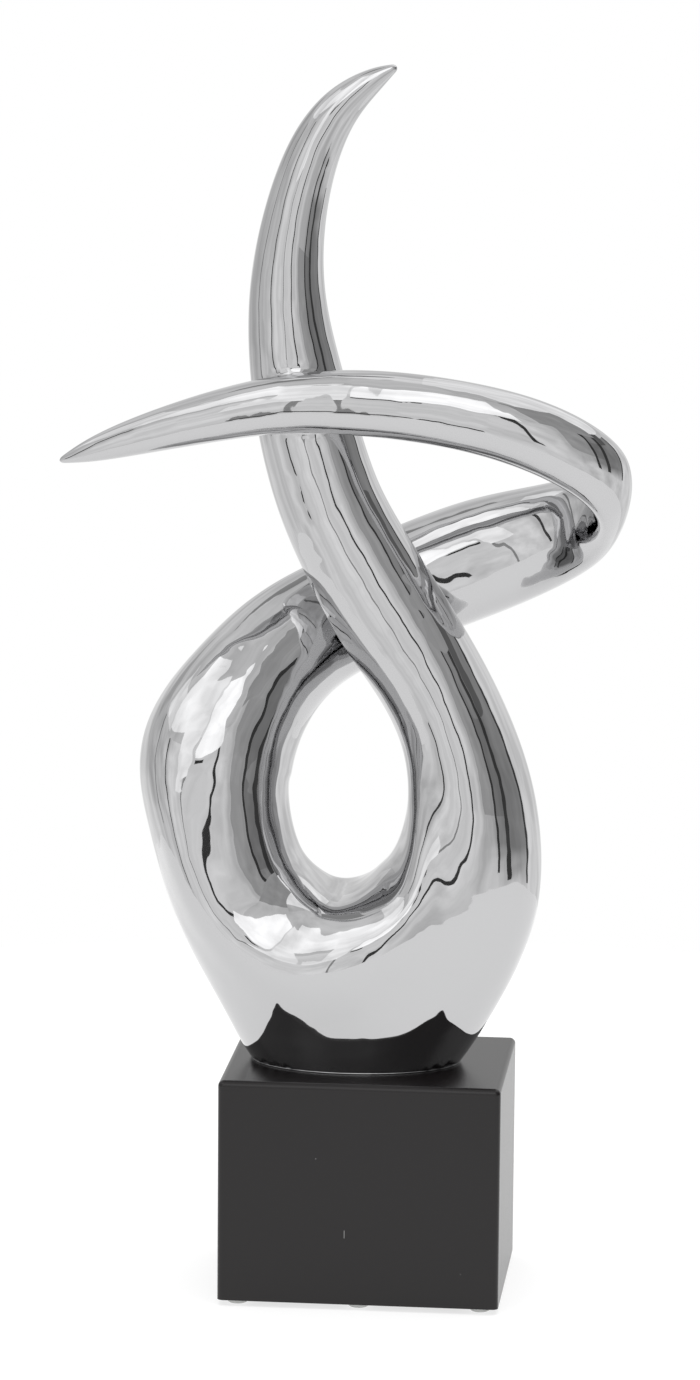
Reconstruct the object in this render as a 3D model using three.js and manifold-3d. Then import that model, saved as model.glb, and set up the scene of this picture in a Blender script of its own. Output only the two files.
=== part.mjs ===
// An abstract metal figure on a black plinth: one limb that falls from a pointed arm, swells
// round a teardrop loop and its foot, passes behind the arm, doubles back at the right and
// crosses the arm again as a level horn with a pointed end.
//
// Millimetres, +Z up, -Y towards the viewer. The origin is on the floor, under the middle of
// the whole object's bounding box.

import * as THREE from "three";
import { LoftGeometry } from "three/addons/geometries/LoftGeometry.js";
import { RoundedBoxGeometry } from "three/addons/geometries/RoundedBoxGeometry.js";
import { mergeVertices } from "three/addons/utils/BufferGeometryUtils.js";
import Module from "manifold-3d";

const wasm = await Module();
wasm.setup();

// Driving dimensions

const FIGURE_HEIGHT = 495.5; // top of the plinth to the tip of the arm
const PLINTH_WIDTH = 140;
const PLINTH_DEPTH = 110;
const PLINTH_HEIGHT = 112;
const PLINTH_EDGE_RADIUS = 3;
const BUMPER_HEIGHT = 2.7;
const BUMPER_TOP_RADIUS = 7;
const BUMPER_BOTTOM_RADIUS = 5;
const BUMPER_INSET = 9.5; // from the plinth's sides to the middle of a bumper
const BUMPERS_PER_ROW = 3;
const CONTACT_GAP = 0.3; // between pieces that touch

// Fineness of the facets

const RINGS_PER_STATION = 3;
const SIDES = 26;
const PLINTH_EDGE_STEPS = 4;
const BUMPER_SIDES = 24;

// The limb's cross-sections, from the tip of the arm to the tip of the horn, drawn for a figure
// 495.5 mm tall. x, y and z are the middle of the section, z measured up from the plinth's top.
// turn is the direction, in degrees from +X towards +Z, that the section's outer side faces.
// outer, inner, front and back are its half-sizes on each side. rim is how far its one
// tightened edge stands out, as a share of the section, and rimAt is the angle of that edge
// from the outer side towards the front.

const DRAWN_HEIGHT = 495.5;

const ARM = [
  { x: 8.5, y: 6, z: 495.5, turn: -60, outer: 1.4, inner: 1.4, front: 1.4, back: 1.4, rim: 0, rimAt: 180 },
  { x: -2, y: 6, z: 490, turn: -43, outer: 6, inner: 6, front: 5.5, back: 5.5, rim: 0, rimAt: 180 },
  { x: -20.5, y: 6, z: 476, turn: -27, outer: 10.5, inner: 10, front: 10, back: 10, rim: 0.02, rimAt: 180 },
  { x: -33, y: 5, z: 453, turn: -14, outer: 13, inner: 13, front: 13, back: 13, rim: 0.03, rimAt: 180 },
  { x: -41.5, y: 4, z: 421, turn: -3, outer: 15, inner: 15, front: 15.5, back: 15.5, rim: 0.04, rimAt: 180 },
  { x: -45, y: 3, z: 385, turn: 3, outer: 18, inner: 18, front: 18, back: 18, rim: 0.05, rimAt: 180 },
  { x: -40, y: 2, z: 348, turn: 6, outer: 22, inner: 22, front: 20, back: 20, rim: 0.05, rimAt: 180 },
  { x: -32, y: 2, z: 313.5, turn: 10, outer: 24.5, inner: 24.5, front: 22, back: 22, rim: 0.05, rimAt: 180 },
  { x: -22, y: 2, z: 280, turn: 14, outer: 25, inner: 25, front: 23.5, back: 23.5, rim: 0.05, rimAt: 180 },
  { x: -6, y: 1, z: 251.5, turn: 19, outer: 26.5, inner: 26.5, front: 25, back: 25, rim: 0.05, rimAt: 178 },
  { x: 8, y: 1, z: 227, turn: 21, outer: 27.5, inner: 27.5, front: 27, back: 27, rim: 0.06, rimAt: 174 },
];

const LOOP = [
  { x: 24.5, y: 0, z: 204.5, turn: 17, outer: 26, inner: 26, front: 30, back: 30, rim: 0.07, rimAt: 168 },
  { x: 42.5, y: 0, z: 173, turn: 7, outer: 25.5, inner: 25.5, front: 34, back: 34, rim: 0.08, rimAt: 158 },
  { x: 52.5, y: 0, z: 134.5, turn: -4, outer: 30.5, inner: 32, front: 38, back: 38, rim: 0.09, rimAt: 142 },
  { x: 43, y: 0, z: 96, turn: -18, outer: 46.5, inner: 31, front: 41, back: 41, rim: 0.12, rimAt: 117 },
  { x: 26.5, y: 0, z: 70, turn: -42, outer: 53.5, inner: 35, front: 43.5, back: 43.5, rim: 0.15, rimAt: 99 },
  { x: -12, y: 0, z: 54, turn: -90, outer: 107.5, inner: 26.5, front: 50, back: 50, rim: 0.16, rimAt: 90 },
  { x: -43, y: 0, z: 63, turn: -138, outer: 49, inner: 34.5, front: 44, back: 44, rim: 0.16, rimAt: 80 },
  { x: -71, y: 0, z: 85.5, turn: -160, outer: 30.5, inner: 37, front: 41, back: 41, rim: 0.15, rimAt: 70 },
  { x: -80, y: 2, z: 131.5, turn: -176, outer: 35, inner: 36, front: 40, back: 40, rim: 0.13, rimAt: 60 },
  { x: -80, y: 8, z: 154.5, turn: -196, outer: 40, inner: 40, front: 42, back: 37, rim: 0.11, rimAt: 46 },
  { x: -64.5, y: 20, z: 183, turn: -222, outer: 33, inner: 33, front: 37, back: 34, rim: 0.09, rimAt: 33 },
  { x: -44, y: 34, z: 206, turn: -236, outer: 30.5, inner: 30.5, front: 30, back: 31, rim: 0.07, rimAt: 25 },
  { x: -14.5, y: 46, z: 221, turn: -244, outer: 29, inner: 29, front: 27, back: 28, rim: 0.05, rimAt: 20 },
];

const RETURN_BEND = [
  { x: 18, y: 54, z: 235, turn: -252, outer: 29.5, inner: 29.5, front: 25, back: 26, rim: 0.02, rimAt: 15 },
  { x: 52, y: 56, z: 248.5, turn: -258, outer: 30, inner: 30, front: 22, back: 24, rim: 0, rimAt: 10 },
  { x: 82, y: 49, z: 259.5, turn: -262, outer: 26, inner: 26, front: 17, back: 20, rim: 0, rimAt: 5 },
  { x: 104.5, y: 32, z: 271.5, turn: -270, outer: 22, inner: 22, front: 11, back: 13, rim: 0, rimAt: 5 },
  { x: 116.5, y: 9, z: 282, turn: -280, outer: 17.5, inner: 17.5, front: 8.5, back: 9.5, rim: 0, rimAt: 5 },
  { x: 118.5, y: -14, z: 293.5, turn: -284, outer: 15, inner: 15, front: 8, back: 9, rim: 0, rimAt: 5 },
  { x: 107, y: -26, z: 308.5, turn: -278, outer: 17, inner: 17, front: 10, back: 11, rim: 0, rimAt: 5 },
];

const HORN = [
  { x: 78, y: -30.5, z: 323, turn: -272, outer: 17.5, inner: 17.5, front: 12, back: 13, rim: 0, rimAt: 5 },
  { x: 41, y: -31, z: 331.5, turn: -270, outer: 16.5, inner: 16.5, front: 13.5, back: 14, rim: 0, rimAt: 5 },
  { x: 2, y: -30, z: 335.5, turn: -270, outer: 16.5, inner: 16.5, front: 14, back: 14.5, rim: 0, rimAt: 5 },
  { x: -38, y: -30, z: 335.5, turn: -272, outer: 14.5, inner: 14.5, front: 13, back: 13, rim: 0, rimAt: 5 },
  { x: -77, y: -29, z: 327, turn: -278, outer: 12.5, inner: 12.5, front: 11, back: 11.5, rim: 0, rimAt: 5 },
  { x: -113.5, y: -27, z: 316.5, turn: -284, outer: 9.5, inner: 9.5, front: 8, back: 8, rim: 0, rimAt: 5 },
  { x: -138.5, y: -25, z: 308, turn: -288, outer: 6, inner: 6, front: 4.5, back: 4.5, rim: 0, rimAt: 5 },
  { x: -153, y: -23, z: 302.5, turn: -290, outer: 1.2, inner: 1.2, front: 1.2, back: 1.2, rim: 0, rimAt: 5 },
];

const STATIONS = [...ARM, ...LOOP, ...RETURN_BEND, ...HORN];
const LAST_STATION = STATIONS.length - 1;
const HORN_JOIN = ARM.length + LOOP.length + 1; // a station on the back limb, clear of the arm
const RIM_TIGHTNESS = 16; // how narrow the rim is around the section
const FIGURE_SCALE = FIGURE_HEIGHT / DRAWN_HEIGHT;

// Materials

function finish(colour, roughness, metalness) {
  return new THREE.MeshStandardMaterial({ color: colour, roughness, metalness });
}

const mirrorPlate = finish("#d9d9db", 0.05, 1);
const blackLacquer = finish("#1c1b1c", 0.4, 0);
const clearRubber = finish("#c9cbc8", 0.3, 0);

// Solids

function solid(geometry) {
  const bare = new THREE.BufferGeometry();
  bare.setAttribute("position", geometry.attributes.position);
  bare.setIndex(geometry.index);
  const merged = mergeVertices(bare);
  const corners = merged.index.array;
  const triangles = [];
  for (let i = 0; i < corners.length; i += 3) {
    const [a, b, c] = corners.subarray(i, i + 3);
    if (a !== b && b !== c && c !== a) {
      triangles.push(a, b, c);
    }
  }
  return new wasm.Manifold(
    new wasm.Mesh({
      numProp: 3,
      vertProperties: new Float32Array(merged.attributes.position.array),
      triVerts: new Uint32Array(triangles),
    }),
  );
}

function namedMesh(name, body, material) {
  const { vertProperties, triVerts } = body.getMesh();
  const geometry = new THREE.BufferGeometry();
  geometry.setAttribute("position", new THREE.BufferAttribute(vertProperties, 3));
  geometry.setIndex(new THREE.BufferAttribute(triVerts, 1));
  geometry.computeVertexNormals();
  const mesh = new THREE.Mesh(geometry, material);
  mesh.name = name;
  return mesh;
}

// The limb

function stationValue(index, key) {
  if (index < 0) {
    return 2 * STATIONS[0][key] - STATIONS[1][key];
  }
  if (index > LAST_STATION) {
    return 2 * STATIONS[LAST_STATION][key] - STATIONS[LAST_STATION - 1][key];
  }
  return STATIONS[index][key];
}

// Cubic B-spline through the stations, which keeps the curvature continuous
function along(position, key) {
  const first = Math.min(Math.floor(position), LAST_STATION - 1);
  const t = position - first;
  const weights = [
    (1 - t) ** 3 / 6,
    (3 * t ** 3 - 6 * t ** 2 + 4) / 6,
    (-3 * t ** 3 + 3 * t ** 2 + 3 * t + 1) / 6,
    t ** 3 / 6,
  ];
  return weights.reduce((sum, weight, k) => sum + weight * stationValue(first - 1 + k, key), 0);
}

function middle(position) {
  return new THREE.Vector3(along(position, "x"), along(position, "y"), along(position, "z"));
}

function sectionFrame(position) {
  const step = 0.01;
  const ahead = middle(Math.min(position + step, LAST_STATION));
  const tangent = ahead.sub(middle(Math.max(position - step, 0))).normalize();
  const turn = THREE.MathUtils.degToRad(along(position, "turn"));
  const outward = new THREE.Vector3(Math.cos(turn), 0, Math.sin(turn));
  outward.addScaledVector(tangent, -outward.dot(tangent)).normalize();
  const forward = new THREE.Vector3().crossVectors(tangent, outward);
  return { outward, forward };
}

// One ring of the limb: an ellipse with its own half-size on each side and one raised rim
function section(position) {
  const { outward, forward } = sectionFrame(position);
  const rimAt = THREE.MathUtils.degToRad(along(position, "rimAt"));
  const across = (plus, minus, turn) => turn * ((plus + minus) / 2 + ((plus - minus) / 2) * turn);
  const ring = [];
  for (let side = 0; side < SIDES; side += 1) {
    const angle = (2 * Math.PI * side) / SIDES;
    const nearness = Math.exp(RIM_TIGHTNESS * (Math.cos(angle - rimAt) - 1));
    const swell = 1 + along(position, "rim") * nearness;
    const out = across(along(position, "outer"), along(position, "inner"), Math.cos(angle));
    const fore = across(along(position, "front"), along(position, "back"), Math.sin(angle));
    const point = middle(position);
    point.addScaledVector(outward, out * swell);
    point.addScaledVector(forward, fore * swell);
    ring.push(point.multiplyScalar(FIGURE_SCALE));
  }
  return ring;
}

// A closed length of the limb between two stations
function limb(from, to) {
  const sections = [];
  for (let ring = 0; ring <= (to - from) * RINGS_PER_STATION; ring += 1) {
    sections.push(section(from + ring / RINGS_PER_STATION));
  }
  return solid(new LoftGeometry(sections, { capStart: true, capEnd: true }));
}

// Two lengths joined where they share a stretch of the back limb, because the limb meets itself
// where the horn crosses the arm. The foot is cut flat where it stands on the plinth.
function figure() {
  const size = 2 * FIGURE_HEIGHT;
  const belowContact = solid(new THREE.BoxGeometry(size, size, size)).translate([0, 0, -size / 2]);
  const whole = limb(0, HORN_JOIN).add(limb(HORN_JOIN - 1, LAST_STATION));
  return whole.subtract(belowContact);
}

// The plinth: a block with softened edges and a flat underside

function plinth() {
  const roundedHeight = PLINTH_HEIGHT + PLINTH_EDGE_RADIUS;
  const block = new RoundedBoxGeometry(
    PLINTH_WIDTH,
    PLINTH_DEPTH,
    roundedHeight,
    PLINTH_EDGE_STEPS,
    PLINTH_EDGE_RADIUS,
  );
  block.translate(0, 0, PLINTH_HEIGHT - roundedHeight / 2);
  const keep = new THREE.BoxGeometry(2 * PLINTH_WIDTH, 2 * PLINTH_DEPTH, 2 * PLINTH_HEIGHT);
  keep.translate(0, 0, PLINTH_HEIGHT);
  return solid(block).intersect(solid(keep));
}

// A bumper: a stub that narrows towards the floor

function bumper() {
  const stub = new THREE.CylinderGeometry(
    BUMPER_TOP_RADIUS,
    BUMPER_BOTTOM_RADIUS,
    BUMPER_HEIGHT,
    BUMPER_SIDES,
  );
  stub.rotateX(Math.PI / 2);
  stub.translate(0, 0, BUMPER_HEIGHT / 2);
  return solid(stub);
}

// Assembly

const object = new THREE.Group();

const plinthMesh = namedMesh("plinth", plinth(), blackLacquer);
plinthMesh.position.z = BUMPER_HEIGHT + CONTACT_GAP;
object.add(plinthMesh);

const figureMesh = namedMesh("figure", figure(), mirrorPlate);
figureMesh.position.z = plinthMesh.position.z + PLINTH_HEIGHT + CONTACT_GAP;
object.add(figureMesh);

const rowReach = PLINTH_WIDTH / 2 - BUMPER_INSET;
const rowDepth = PLINTH_DEPTH / 2 - BUMPER_INSET;
for (const [row, y] of [["front", -rowDepth], ["back", rowDepth]]) {
  for (let i = 0; i < BUMPERS_PER_ROW; i += 1) {
    const mesh = namedMesh(`bumper_${row}_${i + 1}`, bumper(), clearRubber);
    mesh.position.set(-rowReach + (2 * rowReach * i) / (BUMPERS_PER_ROW - 1), y, 0);
    object.add(mesh);
  }
}

const box = new THREE.Box3().setFromObject(object);
const boxMiddle = box.getCenter(new THREE.Vector3());
object.position.set(-boxMiddle.x, -boxMiddle.y, 0);

export default object;
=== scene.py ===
"""An abstract chrome figure on a black plinth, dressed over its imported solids.

One limb falls from a pointed arm, swells round a teardrop loop and its foot, passes behind the
arm, doubles back at the right and crosses the arm again as a level horn. Lengths are in metres
in the scene and in millimetres where a name or a table says so.
"""

import math

import bmesh
import bpy
import numpy as np
from mathutils import Matrix, Vector
from mathutils.bvhtree import BVHTree


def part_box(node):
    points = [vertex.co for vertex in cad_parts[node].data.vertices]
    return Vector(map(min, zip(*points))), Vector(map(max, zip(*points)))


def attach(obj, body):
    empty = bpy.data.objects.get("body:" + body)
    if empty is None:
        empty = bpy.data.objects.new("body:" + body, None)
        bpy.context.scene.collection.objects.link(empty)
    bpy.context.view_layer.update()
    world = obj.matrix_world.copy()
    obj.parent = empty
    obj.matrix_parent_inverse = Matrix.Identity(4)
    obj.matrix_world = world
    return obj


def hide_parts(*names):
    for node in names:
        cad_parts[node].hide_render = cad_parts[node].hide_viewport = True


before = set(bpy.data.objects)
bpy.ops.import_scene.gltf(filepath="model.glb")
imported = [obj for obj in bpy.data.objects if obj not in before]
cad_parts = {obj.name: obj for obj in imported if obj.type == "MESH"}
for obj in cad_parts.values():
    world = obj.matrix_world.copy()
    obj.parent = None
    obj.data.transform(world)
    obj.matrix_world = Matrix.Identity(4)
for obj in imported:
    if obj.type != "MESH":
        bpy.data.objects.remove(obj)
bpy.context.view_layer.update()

bl_info = {
    "name": "Looping Chrome Figure",
    "version": (1, 0, 0),
    "blender": (4, 5, 0),
    "location": "View3D > Sidebar > Figure",
    "description": "Builds a mirror-plated looping figure, its plinth, bumpers and studio",
    "category": "Add Mesh",
}

MM = 0.001

# The limb's sections in millimetres, from the tip of the arm to the tip of the horn. Each row is
# x, y and z of the middle, z up from the plinth's top, the turn in degrees of the outer side,
# the half-sizes outer, inner, front and back, how far the tightened edge stands out as a share
# of the section, and the angle of that edge from the outer side.
STATIONS = (
    (8.5, 6, 495.5, -60, 1.4, 1.4, 1.4, 1.4, 0, 180),
    (-2, 6, 490, -43, 6, 6, 5.5, 5.5, 0, 180),
    (-20.5, 6, 476, -27, 10.5, 10, 10, 10, 0.02, 180),
    (-33, 5, 453, -14, 13, 13, 13, 13, 0.03, 180),
    (-41.5, 4, 421, -3, 15, 15, 15.5, 15.5, 0.04, 180),
    (-45, 3, 385, 3, 18, 18, 18, 18, 0.05, 180),
    (-40, 2, 348, 6, 22, 22, 20, 20, 0.05, 180),
    (-32, 2, 313.5, 10, 24.5, 24.5, 22, 22, 0.05, 180),
    (-22, 2, 280, 14, 25, 25, 23.5, 23.5, 0.05, 180),
    (-6, 1, 251.5, 19, 26.5, 26.5, 25, 25, 0.05, 178),
    (8, 1, 227, 21, 27.5, 27.5, 27, 27, 0.06, 174),
    (24.5, 0, 204.5, 17, 26, 26, 30, 30, 0.07, 168),
    (42.5, 0, 173, 7, 25.5, 25.5, 34, 34, 0.08, 158),
    (52.5, 0, 134.5, -4, 30.5, 32, 38, 38, 0.09, 142),
    (43, 0, 96, -18, 46.5, 31, 41, 41, 0.12, 117),
    (26.5, 0, 70, -42, 53.5, 35, 43.5, 43.5, 0.15, 99),
    (-12, 0, 54, -90, 107.5, 26.5, 50, 50, 0.16, 90),
    (-43, 0, 63, -138, 49, 34.5, 44, 44, 0.16, 80),
    (-71, 0, 85.5, -160, 30.5, 37, 41, 41, 0.15, 70),
    (-80, 2, 131.5, -176, 35, 36, 40, 40, 0.13, 60),
    (-80, 8, 154.5, -196, 40, 40, 42, 37, 0.11, 46),
    (-64.5, 20, 183, -222, 33, 33, 37, 34, 0.09, 33),
    (-44, 34, 206, -236, 30.5, 30.5, 30, 31, 0.07, 25),
    (-14.5, 46, 221, -244, 29, 29, 27, 28, 0.05, 20),
    (18, 54, 235, -252, 29.5, 29.5, 25, 26, 0.02, 15),
    (52, 56, 248.5, -258, 30, 30, 22, 24, 0, 10),
    (82, 49, 259.5, -262, 26, 26, 17, 20, 0, 5),
    (104.5, 32, 271.5, -270, 22, 22, 11, 13, 0, 5),
    (116.5, 9, 282, -280, 17.5, 17.5, 8.5, 9.5, 0, 5),
    (118.5, -14, 293.5, -284, 15, 15, 8, 9, 0, 5),
    (107, -26, 308.5, -278, 17, 17, 10, 11, 0, 5),
    (78, -30.5, 323, -272, 17.5, 17.5, 12, 13, 0, 5),
    (41, -31, 331.5, -270, 16.5, 16.5, 13.5, 14, 0, 5),
    (2, -30, 335.5, -270, 16.5, 16.5, 14, 14.5, 0, 5),
    (-38, -30, 335.5, -272, 14.5, 14.5, 13, 13, 0, 5),
    (-77, -29, 327, -278, 12.5, 12.5, 11, 11.5, 0, 5),
    (-113.5, -27, 316.5, -284, 9.5, 9.5, 8, 8, 0, 5),
    (-138.5, -25, 308, -288, 6, 6, 4.5, 4.5, 0, 5),
    (-153, -23, 302.5, -290, 1.2, 1.2, 1.2, 1.2, 0, 5),
)
LAST_STATION = len(STATIONS) - 1
HORN_JOIN = 25  # a station on the back limb, clear of the arm
RIM_TIGHTNESS = 16  # how narrow the tightened edge is around the section
TIP_SPAN = 0.12  # the rounded stretch at each end, as a share of a station
TIP_RING_ANGLES = (10, 25, 40, 55, 70)  # degrees round each tip's rounding from its point
CROSSING_MM = (-42, -20, 334)  # where the horn is cast on to the arm
CROSSING_REACH_MM = 55  # the fillet lies within this distance of the crossing
FILLET_ROUNDS = 5  # corrections that bring a point on to the fillet
LIP_SIDES = 10
CUT_REACH = 2  # metres, wider than the figure
FACES_AT_LEAST = 1000  # a joined figure has far more

# The photograph's camera, round the middle of what it sees
AIM_MM = (1.99, -12.2, 302.73)
CAMERA_DISTANCE_MM = 2746
CAMERA_YAW = 5.506
CAMERA_PITCH = 10.446
CAMERA_ROLL = 0.487
CAMERA_LENS = 144.47
CAMERA_SENSOR = 36

FILL_PLACE = (0.2, -0.3, 1.8)
FILL_SIZE = 1.6

# Greys of the studio's walls as a mirror sees them, by the angle in degrees from the camera's
# side towards its right
WALLS = (
    (-180, 0.80),
    (-152, 0.82),
    (-140, 0.72),
    (-118, 0.72),
    (-90, 0.82),
    (-65, 0.84),
    (-60, 0.98),
    (-49, 0.90),
    (-46, 0.78),
    (-42, 1.02),
    (-24, 1.18),
    (-12, 1.08),
    (10, 0.96),
    (14, 1.10),
    (29, 1.00),
    (33, 0.80),
    (57, 0.66),
    (62, 0.38),
    (84, 0.32),
    (115, 0.38),
    (120, 1.05),
    (150, 0.98),
    (180, 0.85),
)

# Panels and gaps over the walls: from and to in degrees round from the camera's side, from and
# to in degrees above the horizon, and the grey. A later one covers an earlier one.
PANELS = (
    # Upright gaps between the walls, and the dark side of the room
    (-95, -92, -16, 31, 0.30),
    (-51, -48, -16, 31, 0.08),
    (-13, -11, -30, 31, 0.40),
    (11, 14, -16, 31, 0.06),
    (36, 62, 0, 31, 0.52),
    (62, 84, 0, 21, 0.28),
    (58, 62, -16, 31, 0.06),
    (76, 83, -16, 38, 0.07),
    (114, 118, -16, 31, 0.07),
    # The ceiling, and the tops of the walls
    (-180, 180, 31, 90, 0.90),
    (-180, -140, 62, 90, 1.20),
    (-168, -140, 12, 62, 0.90),
    (-140, -122, 12, 32, 0.62),
    (-137, -108, 62, 76, 0.42),
    (30, 84, 31, 62, 0.48),
    (20, 40, 62, 80, 0.78),
    (40, 84, 62, 90, 1.36),
    (84, 180, 36, 90, 1.36),
    (84, 100, 21, 36, 0.16),
    # Soft boxes above the camera and to its left
    (-100, -58, 34, 54, 1.30),
    (-24, -11, 12, 60, 1.55),
    (-11, -9, 30, 58, 1.30),
    (-9, 17, 23, 58, 1.80),
    (-58, -24, 36, 66, 1.60),
    # The bar under the soft box, and the edge of the table
    (-9, -2, 19, 21.5, 0.05),
    (-14, -5, -28, -25, 0.08),
)


def linear(hex_colour):
    """The linear red, green and blue of an sRGB hex colour."""
    channels = [int(hex_colour[i : i + 2], 16) / 255 for i in (1, 3, 5)]
    return tuple(c / 12.92 if c <= 0.04045 else ((c + 0.055) / 1.055) ** 2.4 for c in channels)


def input_socket(node, name):
    """A node's input in use, by its place or by a name that several inputs may share."""
    if isinstance(name, int):
        return node.inputs[name]
    return next(s for s in node.inputs if s.name == name and s.enabled)


def add_node(tree, kind, settings=None, values=None, links=None, greys=()):
    """Adds a node with its settings, input values and the sockets that feed it, and for a
    colour ramp its greys as pairs of position and tone."""
    node = tree.nodes.new(kind)
    for name, value in (settings or {}).items():
        setattr(node, name, value)
    for name, value in (values or {}).items():
        input_socket(node, name).default_value = value
    for name, source in (links or {}).items():
        tree.links.new(source, input_socket(node, name))
    for index, (position, tone) in enumerate(greys):
        elements = node.color_ramp.elements
        element = elements[index] if index < 2 else elements.new(position)
        element.position = position
        element.color = (tone, tone, tone, 1)
    return node


def box_mask(tree, *ranges):
    """A socket that is one where every given socket lies between its two bounds, else zero."""
    mask = None
    for socket, low, high in ranges:
        within = add_node(
            tree,
            "ShaderNodeMath",
            settings={"operation": "COMPARE"},
            values={1: (low + high) / 2, 2: (high - low) / 2},
            links={0: socket},
        )
        if mask is None:
            mask = within.outputs["Value"]
        else:
            both = add_node(
                tree,
                "ShaderNodeMath",
                settings={"operation": "MULTIPLY"},
                links={0: mask, 1: within.outputs["Value"]},
            )
            mask = both.outputs["Value"]
    return mask


def mixed_in(tree, colour, other, factor):
    """A colour socket with another colour mixed in by a factor socket."""
    mix = add_node(
        tree,
        "ShaderNodeMix",
        settings={"data_type": "RGBA"},
        values={"B": other},
        links={"Factor": factor, "A": colour},
    )
    return next(socket for socket in mix.outputs if socket.enabled)


def new_material(name):
    """An empty node material, and its node tree."""
    material = bpy.data.materials.new(name)
    material.use_nodes = True
    material.node_tree.nodes.clear()
    return material, material.node_tree


def add_object(name, mesh, material):
    """A new object in the scene's collection with one material."""
    piece = bpy.data.objects.new(name, mesh)
    bpy.context.scene.collection.objects.link(piece)
    mesh.materials.clear()
    mesh.materials.append(material)
    return piece


# The figure


def station_curves(positions):
    """The ten station values at each position, on a cubic B-spline through the stations."""
    table = np.array(STATIONS, dtype=float)
    before = 2 * table[0] - table[1]
    after = 2 * table[-1] - table[-2]
    padded = np.vstack([before, table, after])
    first = np.minimum(positions.astype(int), LAST_STATION - 1)
    t = (positions - first)[:, None]
    weights = (
        (1 - t) ** 3 / 6,
        (3 * t**3 - 6 * t**2 + 4) / 6,
        (-3 * t**3 + 3 * t**2 + 3 * t + 1) / 6,
        t**3 / 6,
    )
    return sum(weight * padded[first + k] for k, weight in enumerate(weights))


def unit(vectors):
    """The vectors at length one."""
    return vectors / np.linalg.norm(vectors, axis=-1, keepdims=True)


def limb_rings(positions, sides):
    """Rings of points round the limb, in millimetres above the middle of the plinth's top."""
    values = station_curves(positions)
    step = 0.01
    ahead = station_curves(np.minimum(positions + step, LAST_STATION))[:, :3]
    behind = station_curves(np.maximum(positions - step, 0))[:, :3]
    tangent = unit(ahead - behind)
    turn = np.radians(values[:, 3])
    outward = np.stack([np.cos(turn), np.zeros_like(turn), np.sin(turn)], axis=1)
    outward = unit(outward - (outward * tangent).sum(axis=1, keepdims=True) * tangent)
    forward = np.cross(tangent, outward)

    from_end = np.minimum(positions, LAST_STATION - positions) / TIP_SPAN
    roundness = np.sqrt(1 - (1 - np.minimum(from_end, 1)) ** 2)[:, None]

    angle = np.linspace(0, 2 * math.pi, sides, endpoint=False)[None, :]
    outer, inner, front, back, rim, rim_at = (values[:, k, None] for k in range(4, 10))
    nearness = np.exp(RIM_TIGHTNESS * (np.cos(angle - np.radians(rim_at)) - 1))
    swell = (1 + rim * nearness) * roundness
    cosine, sine = np.cos(angle), np.sin(angle)
    out = cosine * ((outer + inner) / 2 + (outer - inner) / 2 * cosine) * swell
    fore = sine * ((front + back) / 2 + (front - back) / 2 * sine) * swell
    middle = values[:, None, :3]
    return middle + out[..., None] * outward[:, None] + fore[..., None] * forward[:, None]


def limb_mesh(name, start, end, rings_per_station, sides, shift):
    """A closed length of the limb between two stations."""
    spaced = np.linspace(start, end, (end - start) * rings_per_station + 1)
    tip = TIP_SPAN * (1 - np.cos(np.radians(TIP_RING_ANGLES)))
    positions = np.unique(np.concatenate([spaced, tip, LAST_STATION - tip]))
    first, last = max(start, tip[0]), min(end, LAST_STATION - tip[0])
    positions = positions[(positions >= first) & (positions <= last)]
    rings = limb_rings(positions, sides) * MM + np.array(shift)
    count = len(positions)
    vertices = rings.reshape(-1, 3).tolist()
    faces = []
    for ring in range(count - 1):
        for side in range(sides):
            beside = (side + 1) % sides
            low, high = ring * sides, (ring + 1) * sides
            faces.append((low + side, low + beside, high + beside, high + side))
    faces.append(tuple(reversed(range(sides))))
    faces.append(tuple(range((count - 1) * sides, count * sides)))
    mesh = bpy.data.meshes.new(name)
    mesh.from_pydata(vertices, [], faces)
    work = bmesh.new()
    work.from_mesh(mesh)
    bmesh.ops.recalc_face_normals(work, faces=work.faces)
    work.to_mesh(mesh)
    work.free()
    return mesh


def cutting_block(name, top, reach):
    """A closed cube of a given reach whose top is at a given height, which cuts the foot flat."""
    work = bmesh.new()
    bmesh.ops.create_cube(work, size=reach)
    bmesh.ops.translate(work, verts=work.verts, vec=(0, 0, top - reach / 2))
    mesh = bpy.data.meshes.new(name)
    work.to_mesh(mesh)
    work.free()
    return mesh


def combine(mesh, other, operation):
    """The union or difference of two closed meshes, as a new mesh."""
    first = bpy.data.objects.new("first", mesh)
    second = bpy.data.objects.new("second", other)
    for temporary in (first, second):
        bpy.context.scene.collection.objects.link(temporary)
    boolean = first.modifiers.new("combine", "BOOLEAN")
    boolean.object = second
    boolean.operation = operation
    boolean.solver = "MANIFOLD"
    depsgraph = bpy.context.evaluated_depsgraph_get()
    result = bpy.data.meshes.new_from_object(first.evaluated_get(depsgraph))
    for temporary in (first, second):
        bpy.data.objects.remove(temporary)
    return result


def surface_tree(mesh):
    """A search tree of a mesh's faces."""
    return BVHTree.FromPolygons(
        [v.co[:] for v in mesh.vertices], [p.vertices[:] for p in mesh.polygons]
    )


def blended_distance(point, trees, reach):
    """Distance to the union of two surfaces with a fillet of a given reach between them, and
    the direction away from it."""
    distances = []
    directions = []
    for tree in trees:
        nearest, normal, _, _ = tree.find_nearest(point)
        distances.append((point - nearest).dot(normal))
        directions.append(normal)
    share = min(max(0.5 + 0.5 * (distances[1] - distances[0]) / reach, 0), 1)
    direction = (directions[0] * share + directions[1] * (1 - share)).normalized()
    distance = distances[0] * share + distances[1] * (1 - share) - reach * share * (1 - share)
    return distance, direction


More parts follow.
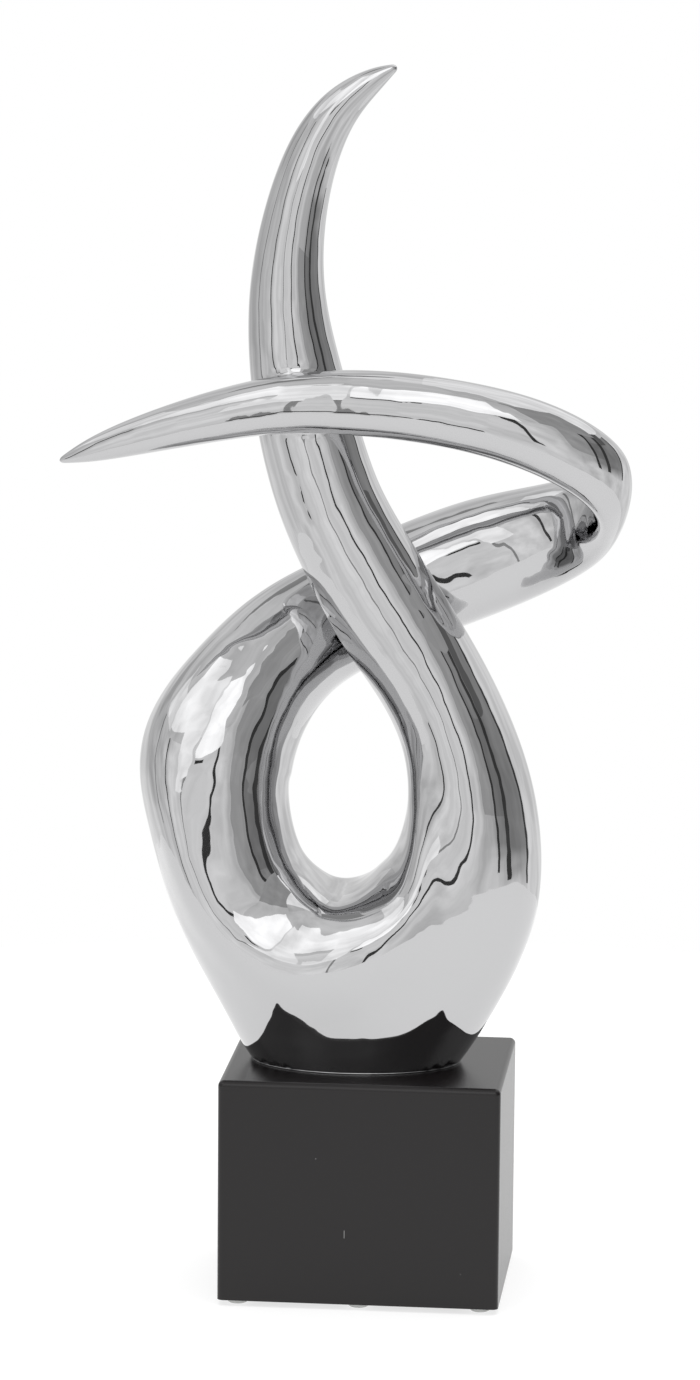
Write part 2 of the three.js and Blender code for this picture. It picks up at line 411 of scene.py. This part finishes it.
def round_the_crossing(mesh, trees, crossing, reach):
    """Moves the points near the crossing on to a fillet, and returns their normals."""
    normals = {}
    for vertex in mesh.vertices:
        if (vertex.co - crossing).length > CROSSING_REACH_MM * MM:
            continue
        gaps = [(tree.find_nearest(vertex.co)[0] - vertex.co).length for tree in trees]
        if max(gaps) > reach:
            continue
        point = vertex.co.copy()
        for _ in range(FILLET_ROUNDS):
            distance, direction = blended_distance(point, trees, reach)
            point -= direction * distance
        vertex.co = point
        normals[vertex.index] = blended_distance(point, trees, reach)[1]
    return normals


def lip_mesh(mesh, height, radius):
    """A thin rolled lip round the foot, on the edge where it is cut flat at a height."""
    nearness = 0.01 * MM
    edge = [v.co for v in mesh.vertices if abs(v.co.z - height) < nearness]
    centre = sum(edge, Vector()) / len(edge)
    edge.sort(key=lambda point: math.atan2(point.y - centre.y, point.x - centre.x))
    vertices = []
    for point in edge:
        outward = Vector((point.x - centre.x, point.y - centre.y, 0)).normalized()
        for side in range(LIP_SIDES):
            angle = 2 * math.pi * side / LIP_SIDES
            offset = outward * math.cos(angle) + Vector((0, 0, 1 + math.sin(angle)))
            vertices.append(point + offset * radius)
    faces = []
    for ring in range(len(edge)):
        here, there = ring * LIP_SIDES, (ring + 1) % len(edge) * LIP_SIDES
        for side in range(LIP_SIDES):
            beside = (side + 1) % LIP_SIDES
            faces.append((here + side, there + side, there + beside, here + beside))
    lip = bpy.data.meshes.new("lip")
    lip.from_pydata(vertices, [], faces)
    return lip


def joined(mesh, other):
    """Both meshes' faces as one mesh."""
    work = bmesh.new()
    work.from_mesh(mesh)
    work.from_mesh(other)
    result = bpy.data.meshes.new(mesh.name)
    work.to_mesh(result)
    work.free()
    return result


class FigureSettings(bpy.types.PropertyGroup):
    """Sizes and finish of the figure."""

    rings_per_station: bpy.props.IntProperty(
        name="Rings per Station",
        description="Rings of points from one section of the limb to the next",
        default=12,
        min=3,
        max=16,
    )
    sides: bpy.props.IntProperty(
        name="Sides",
        description="Points round the limb",
        default=112,
        min=24,
        max=128,
    )
    fillet: bpy.props.FloatProperty(
        name="Fillet",
        description="Reach of the fillet where the horn crosses the arm",
        default=0.008,
        min=0.001,
        max=0.02,
        unit="LENGTH",
    )
    lip: bpy.props.FloatProperty(
        name="Lip",
        description="Radius of the rolled lip where the foot meets the plinth",
        default=0.0004,
        min=0.0002,
        max=0.002,
        precision=4,
        unit="LENGTH",
    )
    plate_colour: bpy.props.FloatVectorProperty(
        name="Plate Colour",
        description="Colour of the plated metal",
        default=linear("#BFBFC0"),
        size=3,
        min=0,
        max=1,
        subtype="COLOR",
    )
    wave_length: bpy.props.FloatProperty(
        name="Wave Length",
        description="Distance between the soft waves that hand polishing leaves",
        default=0.022,
        min=0.005,
        unit="LENGTH",
    )
    wave_height: bpy.props.FloatProperty(
        name="Wave Height",
        description="Height of the soft waves",
        default=0.0008,
        min=0,
        precision=4,
        unit="LENGTH",
    )


def chrome_plate(settings):
    """Chromium plated over hand-polished aluminium casting: a mirror that shows the polisher's
    soft waves as wandering edges in every reflection."""
    material, tree = new_material("chromium_plate_hand_polished")
    place = add_node(tree, "ShaderNodeTexCoord")
    waves = add_node(
        tree,
        "ShaderNodeTexNoise",
        values={"Scale": 1 / settings.wave_length, "Detail": 1.5, "Roughness": 0.4},
        links={"Vector": place.outputs["Object"]},
    )
    bump = add_node(
        tree,
        "ShaderNodeBump",
        values={"Strength": 1, "Distance": settings.wave_height},
        links={"Height": waves.outputs["Fac"]},
    )
    surface = add_node(
        tree,
        "ShaderNodeBsdfPrincipled",
        values={
            "Base Color": (*settings.plate_colour, 1),
            "Metallic": 1,
            "Roughness": 0.03,
        },
        links={"Normal": bump.outputs["Normal"]},
    )
    add_node(
        tree, "ShaderNodeOutputMaterial", links={"Surface": surface.outputs["BSDF"]}
    )
    return material


class SCULPTURE_OT_figure(bpy.types.Operator):
    """Build the mirror-plated figure over its solid"""

    bl_idname = "sculpture.figure"
    bl_label = "Figure"

    def execute(self, context):
        settings = context.scene.sculpture_figure
        low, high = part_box("plinth")
        shift = ((low[0] + high[0]) / 2, (low[1] + high[1]) / 2, high[2])
        fineness = (settings.rings_per_station, settings.sides, shift)
        limb = limb_mesh("limb", 0, HORN_JOIN, *fineness)
        horn = limb_mesh("horn", HORN_JOIN - 1, LAST_STATION, *fineness)
        trees = [surface_tree(limb), surface_tree(horn)]
        whole = combine(limb, horn, "UNION")
        below = cutting_block("below", high[2], CUT_REACH)
        mesh = combine(whole, below, "DIFFERENCE")
        if len(mesh.polygons) < FACES_AT_LEAST:
            raise RuntimeError("the lengths of the limb didn't join")

        crossing = Vector(shift) + Vector(CROSSING_MM) * MM
        fillet_normals = round_the_crossing(mesh, trees, crossing, settings.fillet)
        mesh = joined(mesh, lip_mesh(mesh, high[2], settings.lip))
        mesh.shade_smooth()
        mesh.set_sharp_from_angle(angle=math.radians(60))
        normals = [tuple(corner.vector) for corner in mesh.corner_normals]
        for loop in mesh.loops:
            if loop.vertex_index in fillet_normals:
                normals[loop.index] = tuple(fillet_normals[loop.vertex_index])
        mesh.normals_split_custom_set(normals)
        mesh.name = "figure_skin"
        piece = add_object("figure_skin", mesh, chrome_plate(settings))
        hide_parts("figure")
        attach(piece, "root")
        return {"FINISHED"}


# The plinth

# The scratch on the plinth's front, from and to along each axis, and the specks of dust
SCRATCH_MM = (("X", 6.5, 6.85), ("Y", -70, -60), ("Z", 37, 41))
GRAIN_SPACING_MM = 13
GRAIN_RADIUS_MM = 0.3
MARK_COLOUR = "#808080"


def rounded_rectangle(width, depth, radius, steps):
    """Points and outward directions round a rectangle with rounded corners."""
    points = []
    directions = []
    corners = ((1, 1, 0), (-1, 1, 90), (-1, -1, 180), (1, -1, 270))
    for side_x, side_y, start in corners:
        centre_x = side_x * (width / 2 - radius)
        centre_y = side_y * (depth / 2 - radius)
        for step in range(steps + 1):
            angle = math.radians(start + 90 * step / steps)
            direction = (math.cos(angle), math.sin(angle))
            points.append((centre_x + radius * direction[0], centre_y + radius * direction[1]))
            directions.append(direction)
    return points, directions


def plinth_mesh(low, high, radius, steps):
    """A block with rounded upright and top edges and a flat underside, with exact normals."""
    width, depth = high[0] - low[0], high[1] - low[1]
    middle = Vector(((low[0] + high[0]) / 2, (low[1] + high[1]) / 2, 0))
    rings = [(low[2], radius, 0.0)]
    for step in range(steps + 1):
        angle = math.radians(90 * step / steps)
        height = high[2] - radius + radius * math.sin(angle)
        rings.append((height, radius * math.cos(angle), angle))

    vertices = []
    normals = []
    for height, corner_radius, lean in rings:
        inset = radius - corner_radius
        points, directions = rounded_rectangle(
            width - 2 * inset, depth - 2 * inset, max(corner_radius, 1e-5), steps
        )
        for (x, y), (out_x, out_y) in zip(points, directions):
            vertices.append(middle + Vector((x, y, height)))
            flat = math.cos(lean)
            normals.append((out_x * flat, out_y * flat, math.sin(lean)))

    around = len(points)
    faces = []
    for ring in range(len(rings) - 1):
        for side in range(around):
            beside = (side + 1) % around
            below, above = ring * around, (ring + 1) * around
            faces.append((below + side, below + beside, above + beside, above + side))
    faces.append(tuple(reversed(range(around))))
    faces.append(tuple(range((len(rings) - 1) * around, len(rings) * around)))

    mesh = bpy.data.meshes.new("plinth_block")
    mesh.from_pydata(vertices, [], faces)
    mesh.shade_smooth()
    underside = len(faces) - 2
    corner_normals = []
    for polygon in mesh.polygons:
        for loop in polygon.loop_indices:
            vertex = mesh.loops[loop].vertex_index
            corner_normals.append((0, 0, -1) if polygon.index == underside else normals[vertex])
    mesh.normals_split_custom_set(corner_normals)
    return mesh


class PlinthSettings(bpy.types.PropertyGroup):
    """Sizes and finish of the plinth."""

    edge_radius: bpy.props.FloatProperty(
        name="Edge Radius",
        description="Rounding of the plinth's upright and top edges",
        default=0.003,
        min=0.0005,
        max=0.01,
        unit="LENGTH",
    )
    edge_steps: bpy.props.IntProperty(
        name="Edge Steps",
        description="Facets across a rounded edge",
        default=10,
        min=2,
        max=16,
    )
    lacquer_colour: bpy.props.FloatVectorProperty(
        name="Lacquer Colour",
        description="Colour of the satin lacquer",
        default=linear("#0D090A"),
        size=3,
        min=0,
        max=1,
        subtype="COLOR",
    )


def black_lacquer(settings):
    """Sprayed polyurethane lacquer, satin: soft reflections that brighten at a low angle, a
    faint orange peel, a few pale specks of dust and one short scratch on the front."""
    material, tree = new_material("polyurethane_lacquer_satin_sprayed")
    place = add_node(tree, "ShaderNodeTexCoord")
    # Orange peel about 1.5 mm across
    peel = add_node(
        tree,
        "ShaderNodeTexNoise",
        values={"Scale": 1 / (1.5 * MM), "Detail": 1},
        links={"Vector": place.outputs["Object"]},
    )
    bump = add_node(
        tree,
        "ShaderNodeBump",
        values={"Strength": 1, "Distance": 0.004 * MM},
        links={"Height": peel.outputs["Fac"]},
    )
    # Grains fill the block, and only the few that reach its surface show
    dust = add_node(
        tree,
        "ShaderNodeTexVoronoi",
        values={"Scale": 1 / (GRAIN_SPACING_MM * MM)},
        links={"Vector": place.outputs["Object"]},
    )
    speck = add_node(
        tree,
        "ShaderNodeMath",
        settings={"operation": "LESS_THAN"},
        values={1: GRAIN_RADIUS_MM / GRAIN_SPACING_MM},
        links={0: dust.outputs["Distance"]},
    )
    axes = add_node(tree, "ShaderNodeSeparateXYZ", links={"Vector": place.outputs["Object"]})
    ranges = [(axes.outputs[axis], low * MM, high * MM) for axis, low, high in SCRATCH_MM]
    marks = add_node(
        tree,
        "ShaderNodeMath",
        settings={"operation": "MAXIMUM"},
        links={0: speck.outputs["Value"], 1: box_mask(tree, *ranges)},
    )
    colour = add_node(
        tree,
        "ShaderNodeMix",
        settings={"data_type": "RGBA"},
        values={"A": (*settings.lacquer_colour, 1), "B": (*linear(MARK_COLOUR), 1)},
        links={"Factor": marks.outputs["Value"]},
    )
    surface = add_node(
        tree,
        "ShaderNodeBsdfPrincipled",
        values={
            "Roughness": 0.25,
            "IOR": 1.45,
        },
        links={
            "Base Color": next(socket for socket in colour.outputs if socket.enabled),
            "Normal": bump.outputs["Normal"],
        },
    )
    add_node(
        tree, "ShaderNodeOutputMaterial", links={"Surface": surface.outputs["BSDF"]}
    )
    return material


class SCULPTURE_OT_plinth(bpy.types.Operator):
    """Build the lacquered plinth over its solid"""

    bl_idname = "sculpture.plinth"
    bl_label = "Plinth"

    def execute(self, context):
        settings = context.scene.sculpture_plinth
        low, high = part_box("plinth")
        mesh = plinth_mesh(low, high, settings.edge_radius, settings.edge_steps)
        piece = add_object("plinth_block", mesh, black_lacquer(settings))
        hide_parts("plinth")
        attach(piece, "root")
        return {"FINISHED"}


# The bumpers

BUMPER_EDGE_STEPS = 6
BUMPER_SIDES = 48


def turned_mesh(name, outline, centre, sides):
    """A closed solid of revolution from an outline of radius and height pairs."""
    vertices = []
    for radius, height in outline:
        for side in range(sides):
            angle = 2 * math.pi * side / sides
            offset = Vector((radius * math.cos(angle), radius * math.sin(angle), height))
            vertices.append(Vector(centre) + offset)
    faces = []
    for ring in range(len(outline) - 1):
        for side in range(sides):
            beside = (side + 1) % sides
            below, above = ring * sides, (ring + 1) * sides
            faces.append((below + side, below + beside, above + beside, above + side))
    faces.append(tuple(reversed(range(sides))))
    faces.append(tuple(range((len(outline) - 1) * sides, len(outline) * sides)))
    mesh = bpy.data.meshes.new(name)
    mesh.from_pydata(vertices, [], faces)
    mesh.shade_smooth()
    mesh.set_sharp_from_angle(angle=math.radians(50))
    return mesh


def bumper_outline(height, top_radius, bottom_radius, edge):
    """Radius and height pairs of a bumper with a rounded lower edge, from the floor up."""
    outline = []
    for step in range(BUMPER_EDGE_STEPS + 1):
        angle = math.radians(90 * step / BUMPER_EDGE_STEPS)
        outline.append(
            (bottom_radius - edge + edge * math.sin(angle), edge * (1 - math.cos(angle)))
        )
    outline.append((top_radius, height))
    return outline


class BumperSettings(bpy.types.PropertyGroup):
    """Sizes and finish of the bumpers."""

    edge_radius: bpy.props.FloatProperty(
        name="Edge Radius",
        description="Rounding of a bumper's lower edge",
        default=0.0008,
        min=0.0001,
        max=0.002,
        precision=4,
        unit="LENGTH",
    )
    taper: bpy.props.FloatProperty(
        name="Taper",
        description="How much smaller a bumper's radius is at the floor",
        default=0.002,
        min=0,
        max=0.004,
        precision=4,
        unit="LENGTH",
    )
    rubber_colour: bpy.props.FloatVectorProperty(
        name="Rubber Colour",
        description="Colour of the clear rubber",
        default=linear("#C4C5C3"),
        size=3,
        min=0,
        max=1,
        subtype="COLOR",
    )


def clear_rubber(settings):
    """Moulded clear polyurethane: water-clear, slightly cloudy, with a soft gloss."""
    material, tree = new_material("polyurethane_clear_moulded")
    surface = add_node(
        tree,
        "ShaderNodeBsdfPrincipled",
        values={
            "Base Color": (*settings.rubber_colour, 1),
            "Roughness": 0.18,
            "IOR": 1.49,
            "Transmission Weight": 0.25,
        },
    )
    add_node(
        tree, "ShaderNodeOutputMaterial", links={"Surface": surface.outputs["BSDF"]}
    )
    return material


class SCULPTURE_OT_bumpers(bpy.types.Operator):
    """Build the six clear bumpers over their solids"""

    bl_idname = "sculpture.bumpers"
    bl_label = "Bumpers"

    def execute(self, context):
        settings = context.scene.sculpture_bumpers
        material = clear_rubber(settings)
        names = [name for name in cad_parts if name.startswith("bumper_")]
        if not names:
            raise RuntimeError("the frame has no bumpers")
        for name in names:
            low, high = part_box(name)
            radius = (high[0] - low[0]) / 2
            centre = ((low[0] + high[0]) / 2, (low[1] + high[1]) / 2, low[2])
            outline = bumper_outline(
                high[2] - low[2], radius, radius - settings.taper, settings.edge_radius
            )
            mesh = turned_mesh(f"{name}_moulding", outline, centre, BUMPER_SIDES)
            piece = add_object(f"{name}_moulding", mesh, material)
            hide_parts(name)
            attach(piece, "root")
        return {"FINISHED"}


# The stage


class StageSettings(bpy.types.PropertyGroup):
    """Sizes and tones of the studio."""

    floor_radius: bpy.props.FloatProperty(
        name="Floor Radius",
        description="Radius of the round pale floor",
        default=0.75,
        min=0.5,
        unit="LENGTH",
    )
    floor_colour: bpy.props.FloatVectorProperty(
        name="Floor Colour",
        description="What the floor sends back of the light from above",
        default=linear("#959595"),
        size=3,
        min=0,
        max=1,
        subtype="COLOR",
    )
    fill_power: bpy.props.FloatProperty(
        name="Fill Power",
        description="Power of the overhead fill light in watts",
        default=20,
        min=0,
    )


def pale_floor(settings):
    """Matt white studio board, lit from below as well: even, with no gloss, so that a shadow on
    it is faint."""
    material, tree = new_material("studio_board_matt_white")
    surface = add_node(
        tree,
        "ShaderNodeBsdfPrincipled",
        values={
            "Base Color": (*settings.floor_colour, 1),
            "Roughness": 0.9,
            "Specular IOR Level": 0.1,
            "Emission Color": (1, 1, 1, 1),
            "Emission Strength": 0.72,
        },
    )
    add_node(
        tree, "ShaderNodeOutputMaterial", links={"Surface": surface.outputs["BSDF"]}
    )
    return material


def floor_mesh(radius):
    """A flat disc on the floor."""
    around = 96
    points = []
    for side in range(around):
        angle = 2 * math.pi * side / around
        points.append((radius * math.cos(angle), radius * math.sin(angle), 0))
    mesh = bpy.data.meshes.new("floor")
    mesh.from_pydata(points, [], [tuple(range(around))])
    return mesh


def studio_world():
    """A room of pale panels, narrow black gaps and a soft box over the camera, which reflections
    and matt surfaces see. The camera sees plain white."""
    world = bpy.data.worlds.new("studio")
    bpy.context.scene.world = world
    world.use_nodes = True
    tree = world.node_tree
    tree.nodes.clear()
    place = add_node(tree, "ShaderNodeTexCoord")
    direction = place.outputs["Generated"]
    turned = add_node(
        tree,
        "ShaderNodeMapping",
        values={"Rotation": (0, 0, math.radians(90))},
        links={"Vector": direction},
    )
    around = add_node(
        tree,
        "ShaderNodeTexGradient",
        settings={"gradient_type": "RADIAL"},
        links={"Vector": turned.outputs["Vector"]},
    )
    bearing = around.outputs["Fac"]
    axes = add_node(tree, "ShaderNodeSeparateXYZ", links={"Vector": direction})
    height = axes.outputs["Z"]

    walls = add_node(
        tree,
        "ShaderNodeValToRGB",
        links={"Fac": bearing},
        greys=[((angle + 180) / 360, tone) for angle, tone in WALLS],
    )
    colour = walls.outputs["Color"]

    # Towards the floor the walls fade into its pale edge
    sink = add_node(
        tree,
        "ShaderNodeMapRange",
        values={"From Min": -0.13, "From Max": -0.32, "To Min": 0.0, "To Max": 0.9},
        links={"Value": height},
    )
    colour = mixed_in(tree, colour, (1.04, 1.04, 1.04, 1), sink.outputs["Result"])
    for left, right, bottom, top, tone in PANELS:
        sides = [(angle + 180) / 360 for angle in (left, right)]
        ends = [math.sin(math.radians(angle)) for angle in (bottom, top)]
        colour = mixed_in(
            tree, colour, (tone, tone, tone, 1), box_mask(tree, (bearing, *sides), (height, *ends))
        )

    # No wall is quite evenly lit
    clouds = add_node(
        tree,
        "ShaderNodeTexNoise",
        values={"Scale": 4, "Detail": 3},
        links={"Vector": direction},
    )
    evenness = add_node(
        tree,
        "ShaderNodeMapRange",
        values={"From Min": 0.3, "From Max": 0.7, "To Min": 0.8, "To Max": 1.15},
        links={"Value": clouds.outputs["Fac"]},
    )
    uneven = add_node(
        tree,
        "ShaderNodeVectorMath",
        settings={"operation": "SCALE"},
        links={"Vector": colour, "Scale": evenness.outputs["Result"]},
    )
    colour = uneven.outputs["Vector"]

    reflected = add_node(tree, "ShaderNodeBackground", links={"Color": colour})
    seen = add_node(tree, "ShaderNodeBackground", values={"Color": (1, 1, 1, 1)})
    path = add_node(tree, "ShaderNodeLightPath")
    mix = add_node(
        tree,
        "ShaderNodeMixShader",
        links={
            "Fac": path.outputs["Is Camera Ray"],
            1: reflected.outputs["Background"],
            2: seen.outputs["Background"],
        },
    )
    add_node(tree, "ShaderNodeOutputWorld", links={"Surface": mix.outputs["Shader"]})


def place_camera():
    """The photograph's camera."""
    yaw, pitch, roll = (math.radians(a) for a in (CAMERA_YAW, CAMERA_PITCH, CAMERA_ROLL))
    back = Vector(
        (
            math.sin(yaw) * math.cos(pitch),
            -math.cos(yaw) * math.cos(pitch),
            math.sin(pitch),
        )
    )
    level = Vector((math.cos(yaw), math.sin(yaw), 0))
    upright = back.cross(level)
    right = level * math.cos(roll) + upright * math.sin(roll)
    up = upright * math.cos(roll) - level * math.sin(roll)
    lens = bpy.data.cameras.new("camera")
    lens.sensor_fit = "VERTICAL"
    lens.sensor_height = CAMERA_SENSOR
    lens.lens = CAMERA_LENS
    camera = bpy.data.objects.new("camera", lens)
    turn = Matrix((right, up, back)).transposed().to_4x4()
    eye = Vector(AIM_MM) * MM + back * CAMERA_DISTANCE_MM * MM
    camera.matrix_world = Matrix.Translation(eye) @ turn
    bpy.context.scene.collection.objects.link(camera)
    bpy.context.scene.camera = camera


def overhead_light(power):
    """A broad lamp over the object, which the mirror doesn't show."""
    light = bpy.data.lights.new("fill", "AREA")
    light.size = FILL_SIZE
    light.energy = power
    fill = bpy.data.objects.new("fill", light)
    fill.location = FILL_PLACE
    fill.visible_glossy = False
    bpy.context.scene.collection.objects.link(fill)


class SCULPTURE_OT_stage(bpy.types.Operator):
    """Build the floor, the studio light and the camera"""

    bl_idname = "sculpture.stage"
    bl_label = "Stage"

    def execute(self, context):
        settings = context.scene.sculpture_stage
        floor = add_object("floor", floor_mesh(settings.floor_radius), pale_floor(settings))
        studio_world()
        overhead_light(settings.fill_power)
        place_camera()
        context.scene.view_settings.view_transform = "Standard"
        return {"FINISHED"}


class SCULPTURE_PT_sidebar(bpy.types.Panel):
    """The sculpture's settings and its build buttons"""

    bl_label = "Looping Chrome Figure"
    bl_space_type = "VIEW_3D"
    bl_region_type = "UI"
    bl_category = "Figure"

    def draw(self, context):
        for settings_name, operator in STEPS:
            settings = getattr(context.scene, settings_name)
            box = self.layout.box()
            for name in settings.__annotations__:
                box.prop(settings, name)
            box.operator(operator.bl_idname)


STEPS = (
    ("sculpture_figure", SCULPTURE_OT_figure),
    ("sculpture_plinth", SCULPTURE_OT_plinth),
    ("sculpture_bumpers", SCULPTURE_OT_bumpers),
    ("sculpture_stage", SCULPTURE_OT_stage),
)
SETTINGS = {
    "sculpture_figure": FigureSettings,
    "sculpture_plinth": PlinthSettings,
    "sculpture_bumpers": BumperSettings,
    "sculpture_stage": StageSettings,
}


def register():
    """Registers the settings, the operators and the panel."""
    for name, group in SETTINGS.items():
        bpy.utils.register_class(group)
        setattr(bpy.types.Scene, name, bpy.props.PointerProperty(type=group))
    for _, operator in STEPS:
        bpy.utils.register_class(operator)
    bpy.utils.register_class(SCULPTURE_PT_sidebar)


def unregister():
    """Removes what register added."""
    bpy.utils.unregister_class(SCULPTURE_PT_sidebar)
    for _, operator in reversed(STEPS):
        bpy.utils.unregister_class(operator)
    for name, group in SETTINGS.items():
        delattr(bpy.types.Scene, name)
        bpy.utils.unregister_class(group)


def main():
    """Builds every piece and the stage."""
    register()
    bpy.ops.sculpture.figure()
    bpy.ops.sculpture.plinth()
    bpy.ops.sculpture.bumpers()
    bpy.ops.sculpture.stage()


if __name__ == "__main__":
    main()
